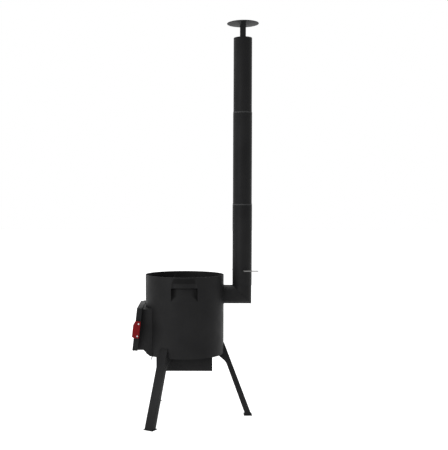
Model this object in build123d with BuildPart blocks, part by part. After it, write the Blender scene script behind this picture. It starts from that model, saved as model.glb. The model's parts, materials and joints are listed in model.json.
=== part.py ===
from build123d import *
import os
from math import cos, radians, sin, sqrt, tan

# Free-standing stove for a round-bottomed cauldron: a rolled steel body on three splayed legs,
# a firing neck with a tilted door at -X, an ash drawer below and a stacked chimney at +X.
# Millimetres. Places below are measured from the body's wall, top or bottom.

# Body
body_d = 400
body_height = 402
body_bottom_z = 325
body_wall = 3
floor_plate_t = 3
weld_gap = 0.2

# Carrying grips: pockets pressed into the wall, slit along the top so that fingers hook the edge
grip_window_w = 130
grip_window_h = 65
grip_window_drop = 119
pocket_head_w = 66
pocket_bend_h = 32
pocket_top_gap = 4
pocket_depth = 25

# Firing neck
neck_side_lap = 30
neck_wall = 3
neck_top_up = 236.7
neck_sill_up = 32
ramp_top_out = 5
ramp_angle = 45

# Door and its frame, tilted so that the door's own weight shuts it
door_tilt = 6.5
door_mid_out = 46.8
door_mid_up = 141.2
door_w = 300
door_h = 213
door_depth = 26.5
door_sheet = 2
door_bend_r = 2.5
frame_t = 3
frame_face_gap = 2.5
frame_side_gap = 2
frame_top_gap = 3
frame_drop = 3

# Door hinges
eye_r = 7
eye_length = 29.8
eye_gap = 0.4
eye_side_gap = 0.4
eye_foot_t = 6
hinge_pin_r = 3
running_gap = 0.05
hinge_along = {"upper": 78.5, "lower": -56.5}
bracket_gap = 0.5
bracket_t = 3

# Door grip
door_grip_length = 82
door_grip_t = 18
door_grip_proud = 8.7
door_grip_top_chamfer = 19
door_grip_bottom_chamfer = 4
door_grip_edge_chamfer = 5
screw_pitch = 61.4
screw_back = 18
screw_r = 2.5
screw_gap = 0.1
screw_head_r = 4
screw_head_h = 1.6
screw_end = 6

# Grate
grate_length = 258
grate_w = 178
grate_t = 10
grate_bearing = 14
grate_slot_w = 10
grate_slot_pitch = 20
grate_slot_count = 7
grate_edge = 22
grate_corner_r = 8

# Ash box and drawer
ash_box_length = 280
ash_box_w = 200
ash_box_depth = 78
ash_box_wall = 2
drawer_wall = 1.5
drawer_side_gap = 1.5
drawer_lift = 0.3
drawer_rear_gap = 3.5
drawer_height = 48
drawer_front_gap = 0.3
drawer_front_drop = 5
drawer_front_inset = 1
lip_reach = 23
lip_drop = 13
bail_wire_r = 1.5
bail_w = 70
bail_top_drop = 3
bail_out = 6.1
bail_drop = 34

# Legs and feet: depths are measured inwards from a leg's outer face
leg_azimuths = {"leg_rear": 0, "leg_near": 240, "leg_far": 120}
leg_w = 45
leg_wall = 3
leg_lap = 47
leg_top_out = 3.3
leg_reach = 142.7
leg_foot_depth = 31.4
leg_knee_depth = 27.9
leg_knee_drop = 58
leg_bend_depth = 30.2
leg_bend_drop = 42.5
leg_hook_length = 43
leg_bend_r = 55
foot_length = 42
foot_w = 52
foot_t = 4
foot_shift = 1.6

# Flue and chimney
riser_out = 93.5
flue_drop = 102
pipe_wall = 1.2
pipe_gap = 0.3
flue_r = 48
riser_spigot = 45
lower_pipe_length = 410.1
middle_pipe_shown = 464.6
upper_pipe_shown = 373
pipe_insert = 50
bead_h = 5
bead_proud = 0.9
rest_gap = 0.3

# Damper
axle_height = 74.2
axle_r = 3
axle_end = 3
damper_t = 1.6
damper_edge_gap = 1.8
handle_stand_off = 5
handle_bend_r = 7
handle_reach = 79.5
stop_rivet_r = 2.4
stop_rivet_head_r = 3.2
stop_rivet_head_h = 1.6
stop_rivet_reach = 5

# Rain cap
cap_r = 80
cap_t = 1.5
cap_gap = 71.7
strap_w = 24.4
strap_t = 1.5
strap_foot_r = 68
strap_lap = 18
strap_gap = 0.05

# Places worked out from the sizes above
body_r = body_d / 2
body_bore_r = body_r - body_wall
body_top_z = body_bottom_z + body_height
grip_window_bottom_z = body_top_z - grip_window_drop
pocket_edge_y = sqrt(body_r**2 - (grip_window_w / 2) ** 2)
pocket_back_y = sqrt((body_r - pocket_depth) ** 2 - (pocket_head_w / 2) ** 2)
pocket_side_run = (grip_window_w - pocket_head_w) / 2
pocket_side_depth = pocket_edge_y - pocket_back_y
pocket_side = sqrt(pocket_side_run**2 + pocket_side_depth**2)
pocket_side_reach = 1.5
neck_top_z = body_bottom_z + neck_top_up
neck_sill_z = body_bottom_z + neck_sill_up
neck_w = door_w - 2 * neck_side_lap
neck_inner_w = neck_w - 2 * neck_wall
neck_roof_under_z = neck_top_z - neck_wall
ramp_top_x = -(body_r + ramp_top_out)
ramp_foot_x = ramp_top_x + neck_sill_up / tan(radians(ramp_angle))
ramp_shift = neck_wall * tan(radians(ramp_angle) / 2)
mouth_end_x = -sqrt(body_bore_r**2 - (neck_inner_w / 2) ** 2) + body_wall
door_mid_x = -(body_r + door_mid_out)
door_mid_z = body_bottom_z + door_mid_up
mouth_front_x = door_mid_x - door_h / 2
frame_front = door_sheet + frame_face_gap
frame_back = frame_front + frame_t
bracket_front = door_depth + bracket_gap
tilt_cos = cos(radians(door_tilt))
tilt_sin = sin(radians(door_tilt))
tilt_tan = tan(radians(door_tilt))
ash_half = ash_box_length / 2
ash_box_bottom_z = body_bottom_z - ash_box_depth
drawer_front_top_z = body_bottom_z - drawer_front_drop
riser_x = body_r + riser_out
flue_z = body_top_z - flue_drop
pipe_r = {"lower": flue_r + pipe_gap + pipe_wall}
pipe_r["middle"] = pipe_r["lower"] - pipe_wall - pipe_gap
pipe_r["upper"] = pipe_r["middle"] - pipe_wall - pipe_gap
lower_pipe_bottom_z = flue_z + flue_r + rest_gap
lower_pipe_top_z = lower_pipe_bottom_z + lower_pipe_length
middle_pipe_top_z = lower_pipe_top_z + middle_pipe_shown
upper_pipe_top_z = middle_pipe_top_z + upper_pipe_shown
cap_z = upper_pipe_top_z + cap_gap
axle_z = lower_pipe_bottom_z + axle_height
damper_r = pipe_r["lower"] - pipe_wall - damper_edge_gap
handle_y = -(pipe_r["lower"] + handle_stand_off + axle_r)
grip_reach_x = (
    door_mid_x
    - door_grip_proud * tilt_cos
    - (door_grip_length / 2 - door_grip_bottom_chamfer) * tilt_sin
)
door_reach_x = door_mid_x - door_h / 2 * tilt_sin
reach_left = min(grip_reach_x, door_reach_x)
reach_right = riser_x + max(cap_r, handle_reach)
stove_x = -(reach_left + reach_right) / 2

# The row's origin is on the floor below the middle of the whole outline
stove = Plane((stove_x, 0, 0))
door_face = Plane(
    origin=(stove_x + door_mid_x, 0, door_mid_z),
    x_dir=(0, -1, 0),
    z_dir=(-tilt_cos, 0, tilt_sin),
)
near_flange = Plane(
    origin=door_face.from_local_coords((door_w / 2, 0, 0)),
    x_dir=door_face.z_dir,
    z_dir=(0, -1, 0),
)


def side_plane(y=0.0):
    """Upright plane at this Y: sketch X and Y are the stove's X and Z, normal towards -Y."""
    return Plane(origin=(stove_x, y, 0), x_dir=(1, 0, 0), z_dir=(0, -1, 0))


def leg_plane(azimuth):
    """Upright plane through the body's axis: sketch X is the radius, sketch Y the height."""
    a = radians(azimuth)
    return Plane(origin=(stove_x, 0, 0), x_dir=(cos(a), sin(a), 0), z_dir=(sin(a), -cos(a), 0))


def hinge_plane(along):
    """Plane across the hinge line, this far up the door from its middle."""
    return Plane(
        origin=door_face.from_local_coords((-hinge_out, along, -hinge_back)),
        x_dir=door_face.x_dir,
        z_dir=door_face.y_dir,
    )


def neck_front_x(z):
    """X of the frame's back face at this height."""
    return door_mid_x + (z - door_mid_z) * tilt_tan + frame_back / tilt_cos


def save(piece, name):
    """Labels a finished piece and writes it as its own file."""
    piece.part.label = name
    export_step(piece.part, f"parts/{name}.step")


hinge_out = door_w / 2 + eye_r + eye_side_gap
hinge_back = bracket_front - eye_r

os.makedirs("parts", exist_ok=True)

# Space inside the neck, from the sill down the ramp to the body's floor
mouth_outline = [
    (mouth_front_x, neck_sill_z + neck_wall),
    (ramp_top_x + ramp_shift, neck_sill_z + neck_wall),
    (ramp_foot_x + ramp_shift, body_bottom_z + neck_wall),
    (mouth_end_x, body_bottom_z + neck_wall),
    (mouth_end_x, neck_roof_under_z),
    (mouth_front_x, neck_roof_under_z),
]
with BuildPart() as mouth_space:
    with BuildSketch(side_plane()):
        with BuildLine():
            Polyline(*mouth_outline, close=True)
        make_face()
    extrude(amount=neck_inner_w / 2, both=True)

# Solid the size of the body's outside, to seat what is welded against it
with BuildPart() as body_envelope:
    with BuildSketch(stove.offset(body_bottom_z)):
        Circle(body_r)
    extrude(amount=body_height)

# Grip pockets: the space pressed into the wall, and the sheet that closes its sides and back


def pocket_form(sheet, top_z):
    """Solid that fills the near pocket up to this height, grown by the sheet around it."""
    inner_r = body_r - sheet
    outer_r = body_r + pocket_depth
    edge_x = grip_window_w / 2 + sheet * pocket_side_depth / pocket_side
    edge_y = -pocket_edge_y + sheet * pocket_side_run / pocket_side
    head_x = edge_x - pocket_side_reach * pocket_side_run
    head_y = edge_y + pocket_side_reach * pocket_side_depth
    with BuildPart() as form:
        with BuildSketch(side_plane()):
            with BuildLine():
                Polyline(
                    (inner_r, grip_window_bottom_z),
                    (inner_r - pocket_depth, grip_window_bottom_z + pocket_bend_h),
                    (inner_r - pocket_depth, top_z),
                    (outer_r, top_z),
                    (outer_r, grip_window_bottom_z),
                    close=True,
                )
            make_face()
        revolve(axis=Axis((stove_x, 0, 0), (0, 0, 1)))
        with BuildSketch(stove.offset(grip_window_bottom_z)):
            with BuildLine():
                Polyline(
                    (-head_x, head_y),
                    (-edge_x, edge_y),
                    (-edge_x, -outer_r),
                    (edge_x, -outer_r),
                    (edge_x, edge_y),
                    (head_x, head_y),
                    close=True,
                )
            make_face()
        extrude(amount=top_z - grip_window_bottom_z, mode=Mode.INTERSECT)
    return form.part


pocket_space = pocket_form(0, grip_window_bottom_z + grip_window_h)
with BuildPart() as pocket_sheet:
    add(pocket_form(body_wall, grip_window_bottom_z + grip_window_h - pocket_top_gap))
    add(pocket_space, mode=Mode.SUBTRACT)
    add(body_envelope.part, mode=Mode.INTERSECT)

# Body shell: a rolled cylinder with its mouth, flue hole and two grip pockets
with BuildPart() as body_shell:
    with BuildSketch(stove.offset(body_bottom_z)):
        Circle(body_r)
        Circle(body_bore_r, mode=Mode.SUBTRACT)
    extrude(amount=body_height)
    add(mouth_space.part, mode=Mode.SUBTRACT)
    with BuildSketch(Plane(origin=(stove_x, 0, flue_z), z_dir=(1, 0, 0))):
        Circle(flue_r - pipe_wall)
    extrude(amount=body_d, mode=Mode.SUBTRACT)
    add(pocket_space, mode=Mode.SUBTRACT)
    add(pocket_space.mirror(Plane.XZ), mode=Mode.SUBTRACT)
    add(pocket_sheet.part)
    add(pocket_sheet.part.mirror(Plane.XZ))
save(body_shell, "body_shell")

# Floor plate with the opening that the grate covers
with BuildPart() as body_floor:
    with BuildSketch(stove.offset(body_bottom_z)):
        Circle(body_bore_r - weld_gap)
        Rectangle(
            grate_length - 2 * grate_bearing,
            grate_w - 2 * grate_bearing,
            mode=Mode.SUBTRACT,
        )
    extrude(amount=floor_plate_t)
save(body_floor, "body_floor")

# Cast grate, loose on the floor plate
with BuildPart() as grate:
    with BuildSketch(stove.offset(body_bottom_z + floor_plate_t)):
        RectangleRounded(grate_length, grate_w, grate_corner_r)
        with GridLocations(0, grate_slot_pitch, 1, grate_slot_count):
            SlotOverall(grate_length - 2 * grate_edge, grate_slot_w, mode=Mode.SUBTRACT)
    extrude(amount=grate_t)
save(grate, "grate")

# Neck: two side walls, a roof and a ramp, fitted to the round body
wall_outline = [
    (neck_front_x(neck_sill_z), neck_sill_z),
    (ramp_top_x, neck_sill_z),
    (ramp_foot_x, body_bottom_z),
    (mouth_end_x, body_bottom_z),
    (mouth_end_x, neck_top_z),
    (neck_front_x(neck_top_z), neck_top_z),
]
for name, wall_y in (("neck_wall_near", -neck_inner_w / 2), ("neck_wall_far", neck_w / 2)):
    with BuildPart() as neck_side:
        with BuildSketch(side_plane(wall_y)):
            with BuildLine():
                Polyline(*wall_outline, close=True)
            make_face()
        extrude(amount=neck_wall)
        add(body_envelope.part, mode=Mode.SUBTRACT)
    save(neck_side, name)

with BuildPart() as neck_roof:
    with BuildSketch(side_plane()):
        with BuildLine():
            Polyline(
                (neck_front_x(neck_roof_under_z), neck_roof_under_z),
                (mouth_end_x, neck_roof_under_z),
                (mouth_end_x, neck_top_z),
                (neck_front_x(neck_top_z), neck_top_z),
                close=True,
            )
        make_face()
    extrude(amount=neck_inner_w / 2, both=True)
    add(body_envelope.part, mode=Mode.SUBTRACT)
save(neck_roof, "neck_roof")

with BuildPart() as neck_ramp:
    with BuildSketch(side_plane()):
        with BuildLine():
            Polyline(
                (neck_front_x(neck_sill_z), neck_sill_z),
                (ramp_top_x, neck_sill_z),
                (ramp_foot_x, body_bottom_z),
                (mouth_end_x, body_bottom_z),
                (mouth_end_x, body_bottom_z + neck_wall),
                (ramp_foot_x + ramp_shift, body_bottom_z + neck_wall),
                (ramp_top_x + ramp_shift, neck_sill_z + neck_wall),
                (neck_front_x(neck_sill_z + neck_wall), neck_sill_z + neck_wall),
                close=True,
            )
        make_face()
    extrude(amount=neck_inner_w / 2, both=True)
    add(body_envelope.part, mode=Mode.SUBTRACT)
save(neck_ramp, "neck_ramp")

# Door frame: a flat plate welded round the neck's front edge, inside the door's folded edges
frame_top = door_h / 2 - door_sheet - frame_top_gap
frame_bottom = -door_h / 2 - frame_drop
with BuildPart() as door_frame:
    with BuildSketch(door_face.offset(-frame_front)):
        with Locations((0, (frame_top + frame_bottom) / 2)):
            Rectangle(door_w - 2 * (door_sheet + frame_side_gap), frame_top - frame_bottom)
    extrude(amount=-frame_t)
    add(mouth_space.part, mode=Mode.SUBTRACT)
save(door_frame, "door_frame")

# Hinges: a bracket off the neck with a fixed eye and pin, and a door eye that drops over the pin
bracket_w = hinge_out + eye_r - neck_w / 2
for level, middle in hinge_along.items():
    with BuildPart() as hinge_bracket:
        with BuildSketch(door_face.offset(-bracket_front)):
            with Locations((-neck_w / 2 - bracket_w / 2, middle - (eye_length + eye_gap) / 2)):
                Rectangle(bracket_w, eye_length)
        extrude(amount=-bracket_t)
    save(hinge_bracket, f"hinge_bracket_{level}")

    with BuildPart() as frame_eye:
        with BuildSketch(hinge_plane(middle - eye_gap / 2)):
            Circle(eye_r)
            with Locations((0, eye_r / 2)):
                Rectangle(eye_foot_t, eye_r)
            Circle(hinge_pin_r, mode=Mode.SUBTRACT)
        extrude(amount=-eye_length)
    save(frame_eye, f"hinge_eye_{level}")

    with BuildPart() as hinge_pin:
        with BuildSketch(hinge_plane(middle - eye_gap / 2 - eye_length)):
            Circle(hinge_pin_r)
        extrude(amount=2 * eye_length + eye_gap)
    save(hinge_pin, f"hinge_pin_{level}")

    with BuildPart() as door_eye:
        with BuildSketch(hinge_plane(middle + eye_gap / 2)):
            Circle(eye_r)
            with Locations(((eye_r + eye_side_gap) / 2, 0)):
                Rectangle(eye_r + eye_side_gap, eye_foot_t)
            Circle(hinge_pin_r + running_gap, mode=Mode.SUBTRACT)
        extrude(amount=eye_length)
    save(door_eye, f"door_eye_{level}")

# Door: a pan folded back along both sides and the top, open along its lower edge
with BuildPart() as door_pan:
    with BuildSketch(door_face):
        Rectangle(door_w, door_h)
    extrude(amount=-door_depth)
    face_edges = door_pan.faces().sort_by(Axis(door_face.origin, door_face.z_dir))[-1].edges()
    fillet(face_edges.sort_by(Axis(door_face.origin, door_face.y_dir))[1:], door_bend_r)
    with BuildSketch(door_face.offset(-door_sheet)):
        with Locations((0, -door_sheet)):
            Rectangle(door_w - 2 * door_sheet, door_h)
    extrude(amount=-door_depth, mode=Mode.SUBTRACT)
    with BuildSketch(near_flange):
        with Locations((-screw_back, -screw_pitch / 2), (-screw_back, screw_pitch / 2)):
            Circle(screw_r + screw_gap)
    extrude(amount=-2 * door_sheet, mode=Mode.SUBTRACT)
save(door_pan, "door_pan")

# Moulded grip on the door's near flange; it stands proud of the door's face
half_grip = door_grip_length / 2
with BuildPart() as door_grip:
    with BuildSketch(near_flange):
        with BuildLine():
            Polyline(
                (-door_depth, -half_grip),
                (0, -half_grip),
                (door_grip_proud, -half_grip + door_grip_top_chamfer),
                (door_grip_proud, half_grip - door_grip_bottom_chamfer),
                (0, half_grip),
                (-door_depth, half_grip),
                close=True,
            )
        make_face()
    extrude(amount=door_grip_t)
    grip_outer_face = door_grip.faces().sort_by(Axis.Y)[0]
    edge_proud = grip_outer_face.edges().sort_by(Axis(door_face.origin, door_face.z_dir))[-1]
    chamfer(edge_proud, door_grip_edge_chamfer)
    with BuildSketch(near_flange):
        with Locations((-screw_back, -screw_pitch / 2), (-screw_back, screw_pitch / 2)):
            Circle(screw_r + screw_gap)
    extrude(amount=door_grip_t, mode=Mode.SUBTRACT)
save(door_grip, "door_grip")

# Two screws through the grip and the flange
with BuildPart() as grip_screws:
    with BuildSketch(near_flange.offset(door_grip_t)):
        with Locations((-screw_back, -screw_pitch / 2), (-screw_back, screw_pitch / 2)):
            Circle(screw_head_r)
    extrude(amount=screw_head_h)
    with BuildSketch(near_flange.offset(door_grip_t)):
        with Locations((-screw_back, -screw_pitch / 2), (-screw_back, screw_pitch / 2)):
            Circle(screw_r)
    extrude(amount=-(door_grip_t + door_sheet + screw_end))
save(grip_screws, "grip_screws")

# Ash box: an open-topped channel under the floor plate, open towards the door side
with BuildPart() as ash_box:
    with BuildSketch(stove.offset(ash_box_bottom_z)):
        Rectangle(ash_box_length, ash_box_w)
    extrude(amount=body_bottom_z - ash_box_bottom_z)
    with BuildSketch(stove.offset(ash_box_bottom_z + ash_box_wall)):
        with Locations((-ash_box_wall, 0)):
            Rectangle(ash_box_length, ash_box_w - 2 * ash_box_wall)
    extrude(amount=body_height, mode=Mode.SUBTRACT)
save(ash_box, "ash_box")

# Ash drawer: a tray, a folded front with a finger lip, and a wire bail
tray_bottom_z = ash_box_bottom_z + ash_box_wall + drawer_lift
tray_front_x = -ash_half - drawer_front_gap
tray_rear_x = ash_half - ash_box_wall - drawer_rear_gap
tray_w = ash_box_w - 2 * ash_box_wall - 2 * drawer_side_gap
with BuildPart() as ash_tray:
    with BuildSketch(stove.offset(tray_bottom_z)):
        with Locations(((tray_front_x + tray_rear_x) / 2, 0)):
            Rectangle(tray_rear_x - tray_front_x, tray_w)
    extrude(amount=drawer_height)
    with BuildSketch(stove.offset(tray_bottom_z + drawer_wall)):
        with Locations(((tray_front_x + tray_rear_x) / 2, 0)):
            Rectangle(tray_rear_x - tray_front_x - 2 * drawer_wall, tray_w - 2 * drawer_wall)
    extrude(amount=drawer_height, mode=Mode.SUBTRACT)
save(ash_tray, "ash_drawer_tray")

front_x = tray_front_x - drawer_wall
lip_x = front_x - lip_reach
with BuildPart() as ash_front:
    with BuildSketch(side_plane()):
        with BuildLine():
            Polyline(
                (tray_front_x, tray_bottom_z),
                (tray_front_x, drawer_front_top_z),
                (lip_x, drawer_front_top_z),
                (lip_x, drawer_front_top_z - lip_drop),
                (lip_x + drawer_wall, drawer_front_top_z - lip_drop),
                (lip_x + drawer_wall, drawer_front_top_z - drawer_wall),
                (front_x, drawer_front_top_z - drawer_wall),
                (front_x, tray_bottom_z),
                close=True,
            )
        make_face()
    extrude(amount=ash_box_w / 2 - drawer_front_inset, both=True)
save(ash_front, "ash_drawer_front")

bail_top_x = stove_x + lip_x - bail_wire_r
bail_top_z = drawer_front_top_z - bail_top_drop
bail_slope = Vector(-bail_out, 0, -bail_drop)
with BuildPart() as ash_bail:
    with BuildLine() as bail_path:
        Polyline(
            (bail_top_x, -bail_w / 2, bail_top_z),
            (bail_top_x - bail_out, -bail_w / 2, bail_top_z - bail_drop),
            (bail_top_x - bail_out, bail_w / 2, bail_top_z - bail_drop),
            (bail_top_x, bail_w / 2, bail_top_z),
        )
    with BuildSketch(Plane(origin=(bail_top_x, -bail_w / 2, bail_top_z), z_dir=bail_slope)):
        Circle(bail_wire_r)
    sweep(path=bail_path.wire(), transition=Transition.RIGHT)
save(ash_bail, "ash_drawer_bail")

# Legs: folded channels whose flanges hook under the body
leg_top_z = body_bottom_z + leg_lap
leg_top_r = body_r + leg_top_out
leg_foot_r = body_r + leg_reach
leg_splay = (leg_foot_r - leg_top_r) / (leg_top_z - foot_t)
web_r = leg_wall * sqrt(1 + leg_splay**2)
foot_r = leg_foot_r - leg_foot_depth / 2 - foot_shift


def leg_point(drop, depth):
    """Point of a leg's inner edge: this far below the body, this deep from the outer face."""
    z = body_bottom_z - drop
    return (leg_foot_r - (z - foot_t) * leg_splay - depth, z)


for name, azimuth in leg_azimuths.items():
    plane = leg_plane(azimuth)
    with BuildPart() as leg:
        with BuildSketch(plane):
            with BuildLine():
                FilletPolyline(
                    (leg_foot_r - leg_foot_depth, foot_t),
                    leg_point(leg_knee_drop, leg_knee_depth),
                    leg_point(leg_bend_drop, leg_bend_depth),
                    (body_r - leg_hook_length, body_bottom_z),
                    radius=leg_bend_r,
                )
                Polyline(
                    (body_r - leg_hook_length, body_bottom_z),
                    (body_bore_r - body_wall, body_bottom_z),
                    (body_bore_r - body_wall, leg_top_z),
                    (leg_top_r, leg_top_z),
                    (leg_foot_r, foot_t),
                    (leg_foot_r - leg_foot_depth, foot_t),
                )
            make_face()
        extrude(amount=leg_w / 2, both=True)
        with BuildSketch(plane):
            with BuildLine():
                Polyline(
                    (0, 0),
                    (leg_foot_r + foot_t * leg_splay - web_r, 0),
                    (leg_top_r - web_r, leg_top_z),
                    (0, leg_top_z),
                    close=True,
                )
            make_face()
        extrude(amount=leg_w / 2 - leg_wall, both=True, mode=Mode.SUBTRACT)
        add(body_envelope.part, mode=Mode.SUBTRACT)
    save(leg, name)

    a = radians(azimuth)
    with BuildPart() as foot:
        with BuildSketch(Plane((stove_x, 0, 0), x_dir=(cos(a), sin(a), 0))):
            with Locations((foot_r, 0)):
                Rectangle(foot_length, foot_w)
        extrude(amount=foot_t)
    save(foot, name.replace("leg", "foot"))

# Flue: a stub welded to the body and a mitred riser whose end is the spigot of the first pipe
mitre = Plane(origin=(stove_x + riser_x, 0, flue_z), x_dir=(0, 1, 0), z_dir=(1, 0, 1))
with BuildPart() as flue_stub:
    with BuildSketch(Plane(origin=(stove_x, 0, flue_z), z_dir=(1, 0, 0))):
        Circle(flue_r)
        Circle(flue_r - pipe_wall, mode=Mode.SUBTRACT)
    extrude(amount=riser_x + 2 * flue_r)
    split(bisect_by=mitre, keep=Keep.BOTTOM)
    add(body_envelope.part, mode=Mode.SUBTRACT)
save(flue_stub, "flue_stub")

with BuildPart() as flue_riser:
    with BuildSketch(Plane((stove_x + riser_x, 0, flue_z - 2 * flue_r))):
        Circle(flue_r)
        Circle(flue_r - pipe_wall, mode=Mode.SUBTRACT)
    extrude(amount=3 * flue_r + riser_spigot)
    split(bisect_by=mitre, keep=Keep.TOP)
save(flue_riser, "flue_riser")

# Chimney pipes: each one narrower than the pipe it stands in, held up by a rolled bead
stop_rivet_z = axle_z + damper_t / 2 + rest_gap + stop_rivet_r
with BuildPart() as lower_pipe:
    with BuildSketch(Plane((stove_x + riser_x, 0, lower_pipe_bottom_z))):
        Circle(pipe_r["lower"])
        Circle(pipe_r["lower"] - pipe_wall, mode=Mode.SUBTRACT)
    extrude(amount=lower_pipe_top_z - lower_pipe_bottom_z)
    with BuildSketch(Plane(origin=(stove_x + riser_x, 0, axle_z), x_dir=(1, 0, 0), z_dir=(0, -1, 0))):
        Circle(axle_r + running_gap)
    extrude(amount=flue_r * 2, both=True, mode=Mode.SUBTRACT)
    with BuildSketch(Plane(origin=(stove_x + riser_x, 0, stop_rivet_z), z_dir=(-1, 0, 0))):
        Circle(stop_rivet_r)
    extrude(amount=flue_r * 2, mode=Mode.SUBTRACT)
save(lower_pipe, "chimney_pipe_lower")

for level, seat_z, top_z in (
    ("middle", lower_pipe_top_z, middle_pipe_top_z),
    ("upper", middle_pipe_top_z, upper_pipe_top_z),
):
    outer_r = pipe_r[level]
    with BuildPart() as pipe:
        with BuildSketch(Plane((stove_x + riser_x, 0, seat_z - pipe_insert))):
            Circle(outer_r)
            Circle(outer_r - pipe_wall, mode=Mode.SUBTRACT)
        extrude(amount=top_z - seat_z + pipe_insert)
        with BuildSketch(Plane((stove_x + riser_x, 0, seat_z))):
            Circle(outer_r + pipe_gap + bead_proud)
            Circle(outer_r - pipe_wall / 2, mode=Mode.SUBTRACT)
        extrude(amount=bead_h)
    save(pipe, f"chimney_pipe_{level}")

# Damper: a disc on a rod that is filed half flat inside the pipe and bent to a handle outside
with BuildPart() as damper_disc:
    with BuildSketch(Plane((stove_x + riser_x, 0, axle_z - damper_t / 2))):
        Circle(damper_r)
    extrude(amount=damper_t)
save(damper_disc, "damper_disc")

axle_rear_y = pipe_r["lower"] + axle_end
with BuildPart() as damper_rod:
    with BuildLine() as rod_path:
        FilletPolyline(
            (stove_x + riser_x, axle_rear_y, axle_z),
            (stove_x + riser_x, handle_y, axle_z),
            (stove_x + riser_x + handle_reach, handle_y, axle_z),
            radius=handle_bend_r,
        )
    with BuildSketch(Plane(origin=(stove_x + riser_x, axle_rear_y, axle_z), z_dir=(0, -1, 0))):
        Circle(axle_r)
    sweep(path=rod_path.wire())
    with BuildSketch(Plane((stove_x + riser_x, 0, axle_z - damper_t / 2))):
        Rectangle(4 * axle_r, 2 * (damper_r + running_gap))
    extrude(amount=2 * axle_r, mode=Mode.SUBTRACT)
save(damper_rod, "damper_rod")

with BuildPart() as stop_rivet:
    with BuildSketch(
        Plane(origin=(stove_x + riser_x - pipe_r["lower"], 0, stop_rivet_z), z_dir=(-1, 0, 0))
    ):
        Circle(stop_rivet_head_r)
    extrude(amount=stop_rivet_head_h)
    with BuildSketch(
        Plane(origin=(stove_x + riser_x - pipe_r["lower"], 0, stop_rivet_z), z_dir=(1, 0, 0))
    ):
        Circle(stop_rivet_r)
    extrude(amount=pipe_wall + stop_rivet_reach)
save(stop_rivet, "damper_stop_rivet")

# Rain cap on two straps riveted inside the top pipe
with BuildPart() as cap_disc:
    with BuildSketch(Plane((stove_x + riser_x, 0, cap_z))):
        Circle(cap_r)
    extrude(amount=cap_t)
save(cap_disc, "cap_disc")

strap_y = sqrt((pipe_r["upper"] - pipe_wall) ** 2 - (strap_w / 2) ** 2) - strap_gap
strap_low_z = upper_pipe_top_z - strap_lap
for name, turn in (("cap_strap_front", 1), ("cap_strap_rear", -1)):
    strap_side = Plane(origin=(stove_x + riser_x, 0, 0), x_dir=(0, -turn, 0), z_dir=(-turn, 0, 0))
    with BuildPart() as strap:
        with BuildSketch(strap_side) as strap_outline:
            with BuildLine():
                Polyline(
                    (strap_y, strap_low_z),
                    (strap_y, cap_z - strap_t),
                    (strap_foot_r, cap_z - strap_t),
                    (strap_foot_r, cap_z),
                    (strap_y - strap_t, cap_z),
                    (strap_y - strap_t, strap_low_z),
                    close=True,
                )
            make_face()
        extrude(amount=strap_w / 2, both=True)
    save(strap, name)
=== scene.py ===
import bpy
import json
from math import cos, pi, radians, sin, sqrt, tan
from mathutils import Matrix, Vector


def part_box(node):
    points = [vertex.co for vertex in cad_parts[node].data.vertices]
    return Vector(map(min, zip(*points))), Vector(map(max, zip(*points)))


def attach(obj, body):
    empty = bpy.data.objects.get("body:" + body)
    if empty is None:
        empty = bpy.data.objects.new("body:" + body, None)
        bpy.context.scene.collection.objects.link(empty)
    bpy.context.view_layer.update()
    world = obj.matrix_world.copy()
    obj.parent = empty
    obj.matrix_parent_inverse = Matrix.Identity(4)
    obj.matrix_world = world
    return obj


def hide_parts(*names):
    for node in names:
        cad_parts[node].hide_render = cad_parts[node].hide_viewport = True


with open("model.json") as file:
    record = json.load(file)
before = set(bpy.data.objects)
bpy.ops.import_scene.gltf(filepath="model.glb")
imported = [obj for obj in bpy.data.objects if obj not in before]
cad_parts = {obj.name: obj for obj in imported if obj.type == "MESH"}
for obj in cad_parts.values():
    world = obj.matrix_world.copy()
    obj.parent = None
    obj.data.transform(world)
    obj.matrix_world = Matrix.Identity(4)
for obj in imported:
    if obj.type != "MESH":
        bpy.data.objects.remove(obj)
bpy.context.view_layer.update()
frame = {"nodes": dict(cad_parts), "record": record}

mm = 0.001
scene = bpy.context.scene
bodyOfNode = {node: body for body, nodes in frame["record"]["behaviour"]["bodies"].items() for node in nodes}
slotOfNode = {piece["node"]: piece["material_slot"] for piece in frame["record"]["subparts"]}

# Places that the pieces share, read from the frame
shellLow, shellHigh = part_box("body_shell")
stoveX = (shellLow.x + shellHigh.x) / 2
shellR = (shellHigh.x - shellLow.x) / 2
pipeLow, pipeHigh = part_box("chimney_pipe_lower")
riserX = (pipeLow.x + pipeHigh.x) / 2
riserLow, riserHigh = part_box("flue_riser")
stubLow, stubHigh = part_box("flue_stub")
flueZ = (stubLow.z + stubHigh.z) / 2
flueR = (riserHigh.y - riserLow.y) / 2


# Camera: a long lens at half the stove's height, a little to the chimney's side
view = {"right": 45.6 * mm, "back": 3974.8 * mm, "height": 1075.8 * mm, "pitch": 2.869, "yaw": 0.657,
        "lens": 62.25, "sensor": 36, "shiftX": 0.0873, "shiftY": 0.0444}
bpy.ops.object.camera_add(
    location=(stoveX + view["right"], -view["back"], view["height"]),
    rotation=(radians(90 - view["pitch"]), 0, radians(view["yaw"])),
)
camera = bpy.context.object
camera.data.lens = view["lens"]
camera.data.sensor_width = view["sensor"]
camera.data.shift_x = view["shiftX"]
camera.data.shift_y = view["shiftY"]
scene.camera = camera
print("camera placed")


# Materials; nearly all of a noise lies inside its span
noiseSpan = {"low": 0.3, "high": 0.7}


def newMaterial(name):
    material = bpy.data.materials.new(name)
    material.use_nodes = True
    tree = material.node_tree
    shader = tree.nodes["Principled BSDF"]
    coords = tree.nodes.new("ShaderNodeTexCoord")
    return material, tree, shader, coords


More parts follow.
